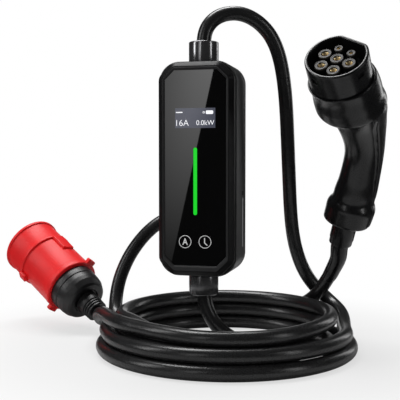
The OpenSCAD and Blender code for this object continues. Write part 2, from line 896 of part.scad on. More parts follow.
module plug_shroud() {
  color([0.85, 0.07, 0.07])
    at_plug()
      difference() {
        union() {
          rotate_extrude()
            polygon([
              [0, shroud_z], [flange_r, shroud_z], [flange_r, shroud_z + flange_l],
              [shroud_r, shroud_z + flange_l], [shroud_r, ring_z], [ring_r, ring_z],
              [ring_r, ring_z + ring_l], [front_r, ring_z + ring_l], [front_r, lip_z], [ring_r, lip_z],
              [ring_r, lip_z + lip_l - lip_edge], [ring_r - lip_edge, lip_z + lip_l], [0, lip_z + lip_l]
            ]);
          for (a = [0, 180])
            rotate([0, 0, a + key_turn + ear_turn])
              translate([flange_r - rib_in, -ear_w / 2, shroud_z + ear_in])
                cube([rib_in + ear_out, ear_w, flange_l - 2 * ear_in]);
          rotate([0, 0, key_turn])
            translate([shroud_r - rib_in, -key_w / 2, key_z])
              cube([rib_in + key_out, key_w, ring_z - key_z + ring_l / 2]);
          rotate([0, 0, key_turn + lug_turn])
            translate([shroud_r - rib_in, -lug_w / 2, ring_z - lug_l])
              cube([rib_in + lug_out, lug_w, lug_l + ring_l / 2]);
        }
        translate([0, 0, plug_floor])
          cylinder(r = mouth_r, h = lip_z);
        rotate([0, 0, key_turn])
          translate([0, -key_slot_w / 2, key_z + wall])
            cube([key_slot_r, key_slot_w, lip_z]);
        translate([0, 0, shroud_z - wall])
          cylinder(r = carrier_r, h = plug_floor);
      }
}

module pin_spots() {
  for (i = [1 : 4])
    rotate([0, 0, key_turn + 72 * i])
      translate([pin_circle, 0, 0])
        children();
}

module earth_spot() {
  rotate([0, 0, key_turn])
    translate([pin_circle, 0, 0])
      children();
}

module plug_insert() {
  color([0.12, 0.12, 0.13])
    at_plug()
      difference() {
        translate([0, 0, shroud_z])
          cylinder(r = carrier_r, h = plug_floor - shroud_z + insert_l);
        pin_spots()
          translate([0, 0, shroud_z - wall])
            cylinder(r = pin_d / 2, h = plug_floor);
        earth_spot()
          translate([0, 0, shroud_z - wall])
            cylinder(r = earth_d / 2, h = plug_floor);
      }
}

// a pin with a tapered tip
module pin(r) {
  rotate_extrude()
    polygon([
      [0, shroud_z - pin_back], [r, shroud_z - pin_back], [r, plug_floor + insert_l + pin_l - pin_tip],
      [r / 2, plug_floor + insert_l + pin_l], [0, plug_floor + insert_l + pin_l]
    ]);
}

module plug_pins() {
  color([0.80, 0.80, 0.82])
    at_plug()
      pin_spots()
        pin(pin_d / 2);
}

module plug_earth_pin() {
  color([0.80, 0.80, 0.82])
    at_plug()
      earth_spot()
        pin(earth_d / 2);
}

module plug_housing() {
  color([0.07, 0.07, 0.075])
    at_plug()
      difference() {
        rotate_extrude()
          polygon([
            [0, neck_l],
            for (s = housing_shares) [s[0] * housing_r, neck_l + s[1] * housing_l],
            [0, shroud_z]
          ]);
        translate([0, 0, neck_l + housing_back])
          cylinder(r = housing_bore_r, h = housing_l);
        translate([0, 0, neck_l - wall])
          cylinder(r = cord_r, h = housing_l);
      }
}

module plug_gland() {
  color([0.06, 0.06, 0.065])
    at_plug()
      difference() {
        rotate_extrude()
          polygon([
            [0, 0],
            for (s = neck_shares) [s[0] * neck_r, s[1] * neck_l],
            [0, neck_l]
          ]);
        translate([0, 0, -wall])
          cylinder(r = cord_r, h = neck_l + 2 * wall);
      }
}

module plug_cord_tail() {
  color([0.09, 0.09, 0.10])
    at_plug()
      cylinder(r = cord_r, h = shroud_z);
}

// coils and leads

module output_coil() {
  color([0.07, 0.07, 0.075])
    union() {
      turn(outer_low_r, lie_z, outer_low_span, rest = true);
      turn(outer_mid_r, outer_mid_z, outer_mid_span, cut_in = true);
      turn(outer_mid_r, outer_mid_z, outer_back_span, cut_in = true);
    }
}

module input_coil() {
  color([0.07, 0.07, 0.075])
    union() {
      turn(inner_r, lie_z, inner_low_span, rest = true);
      turn(inner_r, mid_z, [0, 360], cut_out = true);
      turn(top_r, top_z, top_span);
      turn(step_r, step_z, step_span);
    }
}

module output_arc() {
  color([0.07, 0.07, 0.075])
    tube(arc_route, [0, 0, 1], along_turn(0), cord_r, cord_r, tube_sides);
}

module output_loop() {
  color([0.07, 0.07, 0.075])
    tube(loop_route, along_turn(190), along_turn(30), cord_r, cord_r, tube_sides);
}

module output_riser() {
  color([0.07, 0.07, 0.075])
    tube(riser_route, along_turn(60), unit(relief_route[3] - relief_route[4]), cord_r, cord_r, tube_sides);
}

module input_drop() {
  color([0.07, 0.07, 0.075])
    tube(drop_route, [0, 0, -1], along_turn(255), cord_r, cord_r, tube_sides);
}

module input_climb() {
  color([0.07, 0.07, 0.075])
    tube(climb_route, along_turn(232), along_turn(190), cord_r, cord_r, tube_sides);
}

module input_lead() {
  color([0.07, 0.07, 0.075])
    tube(plug_route, along_turn(350), -plug_way, cord_r, cord_r, tube_sides);
}

rear_shell();
gasket();
front_frame();
front_glass();
display();
light_bar();
main_board();
board_standoffs();
relays();
leakage_sensor();
supply_block();
terminal_blocks();
case_screws();
top_gland();
bottom_gland();
gland_nuts();
cord_tails();
connector_sleeve();
contact_carrier();
power_contacts();
signal_contacts();
contact_potting();
connector_handle();
handle_spine();
connector_core();
connector_collar();
connector_relief();
plug_shroud();
plug_insert();
plug_pins();
plug_earth_pin();
plug_housing();
plug_gland();
plug_cord_tail();
output_coil();
input_coil();
output_arc();
output_loop();
output_riser();
input_drop();
input_climb();
input_lead();
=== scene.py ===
import math

import bpy
import numpy as np
from mathutils import Matrix, Vector


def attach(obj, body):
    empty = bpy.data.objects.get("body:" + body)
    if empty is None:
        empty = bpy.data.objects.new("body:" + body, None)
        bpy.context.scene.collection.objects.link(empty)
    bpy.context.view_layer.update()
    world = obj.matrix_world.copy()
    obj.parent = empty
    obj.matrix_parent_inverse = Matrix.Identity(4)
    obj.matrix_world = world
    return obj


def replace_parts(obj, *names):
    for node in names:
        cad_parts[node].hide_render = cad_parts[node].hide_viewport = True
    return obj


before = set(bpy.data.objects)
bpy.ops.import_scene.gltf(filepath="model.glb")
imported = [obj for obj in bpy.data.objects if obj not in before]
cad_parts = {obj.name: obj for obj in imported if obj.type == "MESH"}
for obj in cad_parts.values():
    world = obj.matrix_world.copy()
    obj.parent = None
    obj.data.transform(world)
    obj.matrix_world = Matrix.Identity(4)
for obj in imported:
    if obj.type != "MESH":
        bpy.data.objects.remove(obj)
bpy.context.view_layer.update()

scene = bpy.context.scene
scene.view_settings.view_transform = "Standard"
MM = 0.001
V = np.array

# camera at the photograph's viewing angle

camera = bpy.data.cameras.new("camera")
camera.sensor_width = 36
camera.lens = 72.9
camera.clip_start = 0.02
camera.clip_end = 60
camera_at = bpy.data.objects.new("camera", camera)
camera_at.location = (0.1702, -0.7924, 0.1905)
camera_at.rotation_euler = (math.radians(90 - 2.83), 0, math.radians(14))
scene.collection.objects.link(camera_at)
scene.camera = camera_at


# places of the three housings, as in the part's source

def turn_matrix(at, turn):
    x, y, z = (math.radians(a) for a in turn)
    turned = Matrix.Rotation(z, 4, "Z") @ Matrix.Rotation(y, 4, "Y") @ Matrix.Rotation(x, 4, "X")
    return np.array(Matrix.Translation(at) @ turned)


AT_BOX = turn_matrix((-22, -6, 0), (0, 0, 0))
AT_GUN = turn_matrix((114, -82, 280), (44, 22, -30))
AT_PLUG = turn_matrix((-153.5, 39, 23.5), (62, 0, -119))


def placed(at, points):
    p = np.asarray(points, float).reshape(-1, 3)
    return (p @ at[:3, :3].T + at[:3, 3]) * MM


def way(at, v):
    return at[:3, :3] @ V(v, float)


# the two cables: routes in millimetres, as in the part's source

CORD_D = 14.4
LOW = CORD_D / 2
INNER, MID_R, OUT_R, TOP_R, STEP_R = 104.5, 119, 123.5, 104, 91.5
MID_Z, TOP_Z, STEP_Z, OUT_Z = 21.5, 35.75, 27.2, 21


def on_turn(a, r, z):
    a = math.radians(a + 14)
    return (r * math.cos(a), r * math.sin(a), z)


def turns(first, last, r, z, step=15):
    n = max(1, round(abs(last - first) / step))
    return [on_turn(first + (last - first) * i / n, r, z) for i in range(n + 1)]


arc = [
    (-22, -6, 303), (-21.5, -5.7, 312), (-19.3, -4.4, 320.5), (-14, -2, 328.3), (-6.5, 2, 333.8), (3, 7, 336.5),
    (13, 12, 336), (22.5, 16.8, 332.3), (31, 21.7, 326), (38, 26.4, 317.8), (44, 31, 306), (50, 38, 281),
    (53, 46, 245), (54, 53.5, 205), (54.6, 61, 168), (55.2, 69, 136), (57.5, 78, 106), (62.8, 87.5, 81.5),
    (71, 96.5, 62), (81.8, 101.8, 47.5), (94, 98.5, 37), (105.5, 84.5, 29.5), (111.8, 62, 24.5),
]
loop = [
    (-116.8, -29.3, 21.6), (-119.5, -9, 21.6), (-121.8, 6, 23), (-124.6, 17, 28.5), (-127, 25, 37), (-128, 32, 48),
    (-127, 37.5, 60), (-124, 42.3, 72), (-118.5, 48, 86), (-110.5, 54.8, 100), (-100.5, 62, 112.5),
    (-89, 69.5, 122), (-76.3, 78.5, 127.3), (-63.5, 90.5, 126.5), (-55, 106.5, 117), (-52, 125.5, 96),
    (-54.5, 144.5, 66), (-58, 161, 41), (-57.3, 177.5, 22.5), (-49, 192, 11.5), (-32, 203, LOW), (-8, 208.5, LOW),
    (21, 204, LOW), (50, 188, LOW), (73, 160, LOW), (88, 124, LOW),
]
riser = [(51, 108.5, 25.2), (71, 96.3, 35.5), (87, 80, 52.5), (95.5, 71.5, 66), (101, 66, 76)]
drop = [
    (-22, -6, 60), (-21.6, -6, 53), (-19.6, -6.2, 44.5), (-15.5, -7, 35), (-9, -8.3, 26), (0, -10, 18.3),
    (12, -11.4, 12.2), (25.5, -11.6, 8.6), (40, -11.5, LOW), (53.5, -14, LOW), (64.5, -20.5, LOW), (71.3, -30.5, LOW),
    (73.6, -43.5, LOW), (70, -56, LOW), (60.5, -67, LOW), (46.5, -78, LOW), (28.5, -90, LOW),
]
climb = [on_turn(226, 91, 28), on_turn(218, 92.2, 29.8), on_turn(210, 95, 32.6), on_turn(200, 99, 35.2)]
lead = [
    on_turn(340, 104.4, 36.1), on_turn(328, 105.6, 36.1), on_turn(316, 107.6, 35.8), on_turn(304, 109.8, 35.3),
    on_turn(292, 111.6, 34.8), on_turn(280, 112.4, 34.5), on_turn(266, 112.4, 34.5), on_turn(252, 111.2, 34.8),
    on_turn(241, 109.6, 35.4), on_turn(230, 109, 35.9), on_turn(220, 110, 36.4), on_turn(211, 113.3, 36.9),
    (-98, -62.5, 37), (-112.6, -42, 36.9), (-122.8, -26.5, 35.2), (-130.3, -14, 31.5), (-135.4, 0, 26.3),
    (-138.3, 12, 22), (-141.8, 22.8, 20.2), (-146.8, 31.2, 20.6),
]
COLLAR_TURN = math.radians(35)
core = [
    (0, -50.53, -214.47), (0, -42.5, -203), (0, -33.5, -190), (0, -21, -172), (0, -11, -156), (0, -2.5, -141),
    (0, 4, -125), (0, 6.5, -108), (0, 6.5, -90), (0, 5, -65), (0, 4, -42),
]

output_route = [
    *arc, *turns(0, -155, MID_R, OUT_Z), on_turn(-170, MID_R, 21.2), *loop,
    *turns(30, -215, OUT_R, LOW), on_turn(-229, 121.3, 14), *turns(-243, -300, MID_R, OUT_Z),
    *riser, *(placed(AT_GUN, core) / MM),
]
input_route = [
    *drop, *turns(255, -16, INNER, LOW), on_turn(-33, INNER, 14.4), *turns(-50, -335, INNER, MID_Z),
    on_turn(-349, 100.4, 23.6), on_turn(-363, 94, 26.2), *turns(-378, -488, STEP_R, STEP_Z), *climb,
    *turns(190, -10, TOP_R, TOP_Z), *lead, *(placed(AT_PLUG, [(0, 0, 0), (0, 0, 14), (0, 0, 30), (0, 0, 49)]) / MM),
]


def even_speeds(p, first, last):
    """The tangents at p of the smooth curve through p whose bending has no jumps."""
    h = np.linalg.norm(np.diff(p, axis=0), axis=1)
    n = len(p)
    a = np.zeros((n, n))
    b = np.zeros((n, 3))
    a[0, 0] = a[-1, -1] = 1
    b[0], b[-1] = first, last
    for i in range(1, n - 1):
        a[i, i - 1 : i + 2] = 1 / h[i - 1], 2 / h[i - 1] + 2 / h[i], 1 / h[i]
        b[i] = 3 * ((p[i] - p[i - 1]) / h[i - 1] ** 2 + (p[i + 1] - p[i]) / h[i] ** 2)
    return np.linalg.solve(a, b), h


def cable(name, route, first, last, sides=10):
    p = np.asarray(route, float)
    m, h = even_speeds(p, first, last)
    before = np.concatenate([h[:1], h])[:, None] / 3
    after = np.concatenate([h, h[-1:]])[:, None] / 3
    left, right = p - m * before, p + m * after
    for q in (left, right, p):
        q[:, 2] = np.maximum(q[:, 2], LOW)
    data = bpy.data.curves.new(name, "CURVE")
    data.dimensions = "3D"
    data.bevel_depth = CORD_D / 2 * MM
    data.bevel_resolution = sides
    data.resolution_u = 8
    data.use_fill_caps = True
    line = data.splines.new("BEZIER")
    line.bezier_points.add(len(p) - 1)
    for point, at, a, b in zip(line.bezier_points, p, left, right):
        point.handle_left_type = point.handle_right_type = "FREE"
        point.co, point.handle_left, point.handle_right = at * MM, a * MM, b * MM
    obj = bpy.data.objects.new(name, data)
    scene.collection.objects.link(obj)
    return obj


def curve_length(obj):
    s = obj.data.splines[0].bezier_points
    total = 0
    t = np.linspace(0, 1, 17)[:, None]
    for a, b in zip(s[:-1], s[1:]):
        q = [V(v) for v in (a.co, a.handle_right, b.handle_left, b.co)]
        c = (1 - t) ** 3 * q[0] + 3 * t * (1 - t) ** 2 * q[1] + 3 * t * t * (1 - t) * q[2] + t**3 * q[3]
        total += np.linalg.norm(np.diff(c, axis=0), axis=1).sum()
    return total


# materials: every finish is built from noise and geometry, in metres on the object

def shade(name, color, rough, metal=0.0, vary=0.15, grain=900.0, bump=0.02, depth=0.0002, wear=0.0, coat=0.0,
          soft=0.0, stretch=(1, 1, 1), rough_vary=0.06, spec=0.5):
    mat = bpy.data.materials.new(name)
    mat.use_nodes = True
    nt = mat.node_tree
    n, link = nt.nodes, nt.links.new
    main = n["Principled BSDF"]
    main.inputs["Metallic"].default_value = metal
    main.inputs["Specular IOR Level"].default_value = spec
    if coat:
        main.inputs["Coat Weight"].default_value = coat
        main.inputs["Coat Roughness"].default_value = 0.08
    where = n.new("ShaderNodeTexCoord")
    scale = n.new("ShaderNodeMapping")
    scale.inputs["Scale"].default_value = stretch
    link(where.outputs["Object"], scale.inputs["Vector"])
    broad = n.new("ShaderNodeTexNoise")
    broad.inputs["Scale"].default_value = 45
    broad.inputs["Detail"].default_value = 3
    fine = n.new("ShaderNodeTexNoise")
    fine.inputs["Scale"].default_value = grain
    fine.inputs["Detail"].default_value = 4
    for noise in (broad, fine):
        link(scale.outputs["Vector"], noise.inputs["Vector"])
    tone = n.new("ShaderNodeMapRange")
    tone.inputs["From Min"].default_value = 0.3
    tone.inputs["From Max"].default_value = 0.7
    tone.inputs["To Min"].default_value = 1 - vary
    tone.inputs["To Max"].default_value = 1 + vary
    link(broad.outputs["Fac"], tone.inputs["Value"])
    base = n.new("ShaderNodeVectorMath")
    base.operation = "SCALE"
    base.inputs[0].default_value = color
    link(tone.outputs["Result"], base.inputs["Scale"])
    last = base.outputs["Vector"]
    if wear:
        edge = n.new("ShaderNodeNewGeometry")
        ramp = n.new("ShaderNodeMapRange")
        ramp.inputs["From Min"].default_value = 0.52
        ramp.inputs["From Max"].default_value = 0.62
        ramp.inputs["To Max"].default_value = wear
        link(edge.outputs["Pointiness"], ramp.inputs["Value"])
        mix = n.new("ShaderNodeMix")
        mix.data_type = "RGBA"
        mix.inputs["B"].default_value = (*[min(1, c * 2.2 + 0.02) for c in color], 1)
        link(ramp.outputs["Result"], mix.inputs["Factor"])
        link(last, mix.inputs["A"])
        last = mix.outputs["Result"]
    link(last, main.inputs["Base Color"])
    gloss = n.new("ShaderNodeMapRange")
    gloss.inputs["From Min"].default_value = 0.3
    gloss.inputs["From Max"].default_value = 0.7
    gloss.inputs["To Min"].default_value = rough - rough_vary
    gloss.inputs["To Max"].default_value = rough + rough_vary
    link(fine.outputs["Fac"], gloss.inputs["Value"])
    link(gloss.outputs["Result"], main.inputs["Roughness"])
    relief = n.new("ShaderNodeBump")
    relief.inputs["Strength"].default_value = bump
    relief.inputs["Distance"].default_value = depth
    link(fine.outputs["Fac"], relief.inputs["Height"])
    if soft:
        edge_round = n.new("ShaderNodeBevel")
        edge_round.samples = 4
        edge_round.inputs["Radius"].default_value = soft
        link(edge_round.outputs["Normal"], relief.inputs["Normal"])
    link(relief.outputs["Normal"], main.inputs["Normal"])
    return mat


def glow(mat, color, strength):
    main = mat.node_tree.nodes["Principled BSDF"]
    main.inputs["Emission Color"].default_value = (*color, 1)
    main.inputs["Emission Strength"].default_value = strength
    return mat


FINISH = {
    "shell": shade("shell_finish", (0.021, 0.021, 0.022), 0.42, grain=2600, bump=0.12, wear=0.35, soft=0.0005),
    "frame": shade("frame_finish", (0.006, 0.006, 0.0065), 0.4, spec=0.16, grain=1800, bump=0.04, wear=0.4),
    "lip": shade("lip_finish", (0.02, 0.02, 0.021), 0.33, grain=1800, bump=0.04),
    "glass": shade("glass_finish", (0.0012, 0.0012, 0.0014), 0.012, vary=0.05, bump=0.0, rough_vary=0.004),
    "gland": shade("gland_finish", (0.2, 0.2, 0.205), 0.17, metal=0.9, grain=1500, bump=0.02, wear=0.3,
                   soft=0.0005, rough_vary=0.03),
    "cable": shade("cable_finish", (0.011, 0.011, 0.0115), 0.29, grain=1300, bump=0.06, vary=0.2),
    "gun": shade("gun_finish", (0.0045, 0.0045, 0.005), 0.25, grain=2200, bump=0.06, wear=0.25, soft=0.0005),
    "spine": shade("spine_finish", (0.007, 0.007, 0.0075), 0.34, grain=2400, bump=0.1),
    "carrier": shade("carrier_finish", (0.0025, 0.0025, 0.003), 0.5, grain=2500, bump=0.1, soft=0.0003),
    "rim_grey": shade("rim_grey_finish", (0.06, 0.053, 0.046), 0.42, grain=2500, bump=0.05),
    "plug_black": shade("plug_black_finish", (0.0085, 0.0085, 0.009), 0.4, grain=2000, bump=0.15, wear=0.4,
                        soft=0.0005),
    "red": shade("red_finish", (0.84, 0.012, 0.014), 0.42, spec=0.3, grain=1800, bump=0.06, vary=0.06, soft=0.0006),
    "inner": shade("inner_finish", (0.03, 0.03, 0.032), 0.5, grain=1200),
    "rubber": shade("rubber_finish", (0.008, 0.008, 0.008), 0.7, grain=1500, bump=0.2),
    "board": shade("board_finish", (0.01, 0.09, 0.035), 0.35, grain=700, vary=0.3, coat=0.3),
    "relay": shade("relay_finish", (0.02, 0.07, 0.22), 0.35, grain=1500),
    "terminal": shade("terminal_finish", (0.02, 0.2, 0.06), 0.4, grain=1500),
    "brass": shade("brass_finish", (0.92, 0.72, 0.4), 0.3, metal=1, grain=1500, vary=0.1, bump=0.05),
    "pin": shade("pin_finish", (0.62, 0.6, 0.56), 0.22, metal=1, grain=1200, vary=0.06, bump=0.04,
                 stretch=(1, 1, 0.1)),
    "steel": shade("steel_finish", (0.5, 0.5, 0.52), 0.32, metal=1, grain=1500, vary=0.1, wear=0.2),
    "screen": shade("screen_finish", (0.03, 0.032, 0.045), 0.12, grain=4000, bump=0.0, vary=0.05),
    "green": shade("green_finish", (0.0, 0.1, 0.004), 0.3, grain=1500, bump=0.0, vary=0.05),
    "line": shade("line_finish", (0.46, 0.46, 0.47), 0.35, grain=1500, bump=0.03, vary=0.08),
    "ink": shade("ink_finish", (0.5, 0.5, 0.5), 0.5, grain=1500, bump=0.0, vary=0.04),
    "readout": shade("readout_finish", (0.5, 0.5, 0.5), 0.5, grain=1500, bump=0.0, vary=0.04),
}
glow(FINISH["screen"], (0.034, 0.037, 0.055), 1.0)
glow(FINISH["green"], (0.003, 0.62, 0.015), 1.0)
glow(FINISH["ink"], (0.5, 0.5, 0.5), 0.55)
glow(FINISH["readout"], (0.85, 0.86, 0.9), 0.9)


def own(obj, finish, slot, *nodes):
    """One piece of the object: its finish, and the CAD nodes that it stands for; the slot is not used."""
    obj.data.materials.clear()
    obj.data.materials.append(FINISH[finish])
    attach(obj, "root")
    if nodes:
        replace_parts(obj, *nodes)
    return obj


output_cable = own(
    cable("output_cable", output_route, (0, 0, 1), -way(AT_GUN, (0, 0.1, -1))), "cable", "cable",
    "output_arc", "output_coil", "output_loop", "output_riser", "connector_core")
input_cable = own(
    cable("input_cable", input_route, (0, 0, -1), way(AT_PLUG, (0, 0, 1))), "cable", "cable",
    "input_drop", "input_coil", "input_climb", "input_lead", "plug_cord_tail")


# shapes

def flat_shade(mesh, angle=35):
    mesh.shade_smooth()
    mesh.set_sharp_from_angle(angle=math.radians(angle))


def mesh_piece(name, verts, faces, angle=35):
    mesh = bpy.data.meshes.new(name)
    mesh.from_pydata([tuple(v) for v in verts], [], [tuple(f) for f in faces])
    mesh.validate()
    mesh.update()
    flat_shade(mesh, angle)
    obj = bpy.data.objects.new(name, mesh)
    scene.collection.objects.link(obj)
    return obj


def skin(rings, close_start=False, close_end=False, around=True):
    """Faces that join rings of equally many points, and the points."""
    n = len(rings[0])
    faces = []
    for i in range(len(rings) - 1):
        for j in range(n if around else n - 1):
            k = (j + 1) % n
            faces.append((i * n + j, i * n + k, (i + 1) * n + k, (i + 1) * n + j))
    if close_start:
        faces.append(tuple(range(n - 1, -1, -1)))
    if close_end:
        faces.append(tuple((len(rings) - 1) * n + j for j in range(n)))
    return np.concatenate([np.asarray(r, float) for r in rings]), faces


def rounded(points, radii, steps=6, closed=True):
    """An outline or profile whose corners are arcs of equally many points."""
    p = [V(q, float) for q in points]
    n = len(p)
    out = []
    for i in range(n):
        r = radii[i] if hasattr(radii, "__len__") else radii
        if not closed and i in (0, n - 1):
            out.append(p[i])
            continue
        a, b = p[i - 1] - p[i], p[(i + 1) % n] - p[i]
        la, lb = np.linalg.norm(a), np.linalg.norm(b)
        a, b = a / la, b / lb
        half = math.acos(max(-1, min(1, float(a @ b)))) / 2
        t = min(r / math.tan(half), 0.5 * la, 0.5 * lb)
        if r <= 0 or half > math.radians(89.5):
            out += [p[i]] * (steps + 1)
            continue
        r = t * math.tan(half)
        mid = p[i] + (a + b) / np.linalg.norm(a + b) * r / math.sin(half)
        u, v = p[i] + a * t - mid, p[i] + b * t - mid
        angle = math.acos(max(-1, min(1, float(u @ v) / (r * r))))
        for k in range(steps + 1):
            s = k / steps
            out.append(mid + (math.sin((1 - s) * angle) * u + math.sin(s * angle) * v) / math.sin(angle))
    return np.array(out)


def lathe(name, profile, at, radii=0.6, sides=96, steps=4, angle=35):
    """A closed profile of (radius, height) turned round the Z axis of the place."""
    pr = rounded(profile, radii, steps, closed=False)
    keep = [0]
    for i in range(1, len(pr)):
        if np.linalg.norm(pr[i] - pr[keep[-1]]) > 1e-4:
            keep.append(i)
    pr = pr[keep]
    turn = np.linspace(0, 2 * math.pi, sides, endpoint=False)
    rings = [np.stack([r * np.cos(turn), r * np.sin(turn), np.full(sides, z)], 1) for r, z in pr if r > 1e-6]
    verts, faces = skin(rings, close_start=pr[0][0] <= 1e-6, close_end=pr[-1][0] <= 1e-6)
    return mesh_piece(name, placed(at, verts), faces, angle)


def octagon(w, h, c, r, y, steps=8):
    """An upright outline with eight rounded corners, at depth y."""
    x, z = w / 2, h / 2
    corners = [(x, z - c), (x - c, z), (c - x, z), (-x, z - c), (-x, c - z), (c - x, -z), (x - c, -z), (x, c - z)]
    flat = rounded(corners, r, steps)
    return np.stack([flat[:, 0], np.full(len(flat), y), flat[:, 1]], 1)


# control box: the frame round the glass, with its bevel and its inner lip

BOX_Z, GLASS_Z = 181.5, 182.7
FRAME_BACK, FRAME_FRONT = -26.3, -35.8


def frame_rings():
    profile = rounded(
        [(0.5, FRAME_BACK), (0, FRAME_BACK - 0.5), (0, FRAME_FRONT + 4.5), (4.5, FRAME_FRONT), (5.2, FRAME_FRONT)],
        [0, 0.4, 2.2, 0.9, 0], 5, closed=False)
    rings = []
    for inset, y in profile:
        ring = octagon(75 - 2 * inset, 206 - 2 * inset, 14 - 0.586 * inset, 10 - inset, y)
        rings.append(ring + V((0, 0, BOX_Z)))
    return rings


outer = frame_rings()
verts, faces = skin(outer)
own(mesh_piece("case_frame", placed(AT_BOX, verts), faces, 60), "frame", "case_plastic", "front_frame")

lip_profile = rounded(
    [(2.15, FRAME_FRONT), (1.9, FRAME_FRONT), (0.25, FRAME_FRONT + 0.35), (0.05, FRAME_FRONT + 1.2),
     (0.05, FRAME_FRONT + 3)], [0, 0.3, 0.3, 0.2, 0], 4, closed=False)
lip_rings = [outer[-1] + V((0, 0.02, 0))]
for out, y in lip_profile:
    ring = octagon(60.3 + 2 * out, 187.3 + 2 * out, 9 + 0.586 * out, 2.5 + out, y)
    lip_rings.append(ring + V((0, 0, GLASS_Z)))
verts, faces = skin(lip_rings)
own(mesh_piece("case_lip", placed(AT_BOX, verts), faces, 50), "lip", "case_plastic")


# glands on the case

def gland(name, at, node):
    return own(lathe(name, [
        (0, -8), (11, -8), (11, 0), (13.9, 0), (13.9, 2.2), (14.75, 2.2), (14.75, 21.5), (CORD_D / 2 + 2.6, 21.5),
        (CORD_D / 2 + 0.1, 19.8), (CORD_D / 2 + 0.1, 16), (0, 16)
    ], at, [0, 0.4, 0.2, 0.2, 0.2, 0.5, 1.2, 0.8, 0.5, 0, 0], steps=5), "gland", "case_plastic", node)


AT_TOP = turn_matrix((-22, -6, 285.5), (0, 0, 0))
AT_LOW = turn_matrix((-22, -6, 77.5), (180, 0, 0))
gland("gland_upper", AT_TOP, "top_gland")
gland("gland_lower", AT_LOW, "bottom_gland")


# display readout and touch marks on the glass

GLASS_Y = -40.8


def words(name, text, left, base, height, width, finish, thick=-0.015, y=GLASS_Y - 0.06):
    data = bpy.data.curves.new(name, "FONT")
    data.body = text
    data.size = 1
    obj = bpy.data.objects.new(name, data)
    scene.collection.objects.link(obj)
    bpy.context.view_layer.update()
    lo, hi = V(obj.bound_box[0]), V(obj.bound_box[6])
    size = height / (hi[1] - lo[1])
    data.size = size * MM
    data.extrude = 0.02 * MM
    data.offset = thick * height * MM
    bpy.context.view_layer.update()
    wide = (V(obj.bound_box[6]) - V(obj.bound_box[0]))[0]
    obj.scale = (width * MM / wide, 1, 1)
    obj.rotation_euler = (math.pi / 2, 0, 0)
    low = V(obj.bound_box[0])
    obj.location = (left * MM - low[0] * obj.scale[0], y * MM, base * MM - low[1])
    return own(obj, finish, "display")


def plate(name, outlines, y0, y1, finish, slot):
    """Flat marks: each outline is a closed run of (x, z) points, or an outer and an inner one."""
    verts, faces = [], []
    for o in outlines:
        runs = o if isinstance(o, tuple) else (o,)
        base = len(verts)
        n = len(runs[0])
        for run in runs:
            verts += [(x, y0, z) for x, z in run] + [(x, y1, z) for x, z in run]
        if len(runs) == 1:
            faces.append([base + i for i in range(n)])
            faces += [[base + i, base + n + i, base + n + (i + 1) % n, base + (i + 1) % n] for i in range(n)]
        else:
            for i in range(n):
                k = (i + 1) % n
                faces.append([base + i, base + k, base + 2 * n + k, base + 2 * n + i])
                faces.append([base + i, base + n + i, base + n + k, base + k])
                faces.append([base + 2 * n + i, base + 2 * n + k, base + 3 * n + k, base + 3 * n + i])
    return own(mesh_piece(name, V(verts) * MM, faces), finish, slot)


def circle(x, z, r, n=64):
    a = np.linspace(0, 2 * math.pi, n, endpoint=False)
    return [(x + r * math.cos(t), z + r * math.sin(t)) for t in a]


def bar(x0, z0, x1, z1, w):
    a, b = V((x0, z0), float), V((x1, z1), float)
    u = (b - a) / np.linalg.norm(b - a)
    v = V((-u[1], u[0])) * w / 2
    return [tuple(q) for q in (a - v, b - v, b + v, a + v)]


def pill(x0, x1, z0, z1, r):
    return [tuple(q) for q in rounded([(x0, z0), (x1, z0), (x1, z1), (x0, z1)], r, 4)]


words("readout_current", "16A", -40.6, 223.1, 6.0, 12.3, "readout")
words("readout_power", "0.0kW", -20.8, 223.7, 4.7, 17.4, "readout", -0.008)
plate("readout_marks", [
    pill(-41.1, -34.3, 235.5, 236.5, 0.45), pill(-11.5, -4.3, 234.1, 237.5, 1.0),
    (circle(-13.6, 235.8, 1.05, 24), circle(-13.6, 235.8, 0.6, 24)),
], GLASS_Y - 0.06, GLASS_Y - 0.01, "readout", "display")
plate("touch_marks", [
    (circle(-32.0, 111.8, 6.2), circle(-32.0, 111.8, 5.65)), (circle(-12.3, 112.0, 6.2), circle(-12.3, 112.0, 5.65)),
    bar(-12.7, 115.8, -12.7, 110.9, 0.95), bar(-12.7, 111.1, -10.0, 108.6, 0.95),
], GLASS_Y - 0.06, GLASS_Y - 0.01, "ink", "display")
words("touch_letter", "A", -34.7, 108.7, 6.1, 5.4, "ink", 0.02)

# the green bar, a little slimmer than the slot that the glass has for it

BAR_SLIM = 0.25
bar_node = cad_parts["light_bar"]
bar_corners = V([bar_node.matrix_world @ Vector(c) for c in bar_node.bound_box]) / MM
bar_low, bar_high = bar_corners.min(0), bar_corners.max(0)
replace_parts(plate("light_strip", [
    pill(bar_low[0] + BAR_SLIM, bar_high[0] - BAR_SLIM, bar_low[2] + 0.2, bar_high[2] - 0.2, 1.6)
], bar_low[1] - 0.02, bar_high[1], "green", "light_bar"), "light_bar")


# vehicle connector: sleeve with its flat side, rounded rim and outer pockets

def sleeve_ring(inset, z, corner=9.0):
    r, f, c = 28 - inset, 24.4 - inset, max(corner - inset, 1.5)
    cy = f - c
    cx = math.sqrt((r - c) ** 2 - cy * cy)
    meet = math.atan2(cy, cx)
    pts = [(cx + c * math.cos(a), cy + c * math.sin(a)) for a in np.linspace(meet, math.pi / 2, 12)]
    pts += [(-cx + c * math.cos(a), cy + c * math.sin(a)) for a in np.linspace(math.pi / 2, math.pi - meet, 12)]
    pts += [(r * math.cos(a), r * math.sin(a)) for a in np.linspace(math.pi - meet, 2 * math.pi + meet, 90)[1:-1]]
    return np.array([(x, y, z) for x, y in pts])


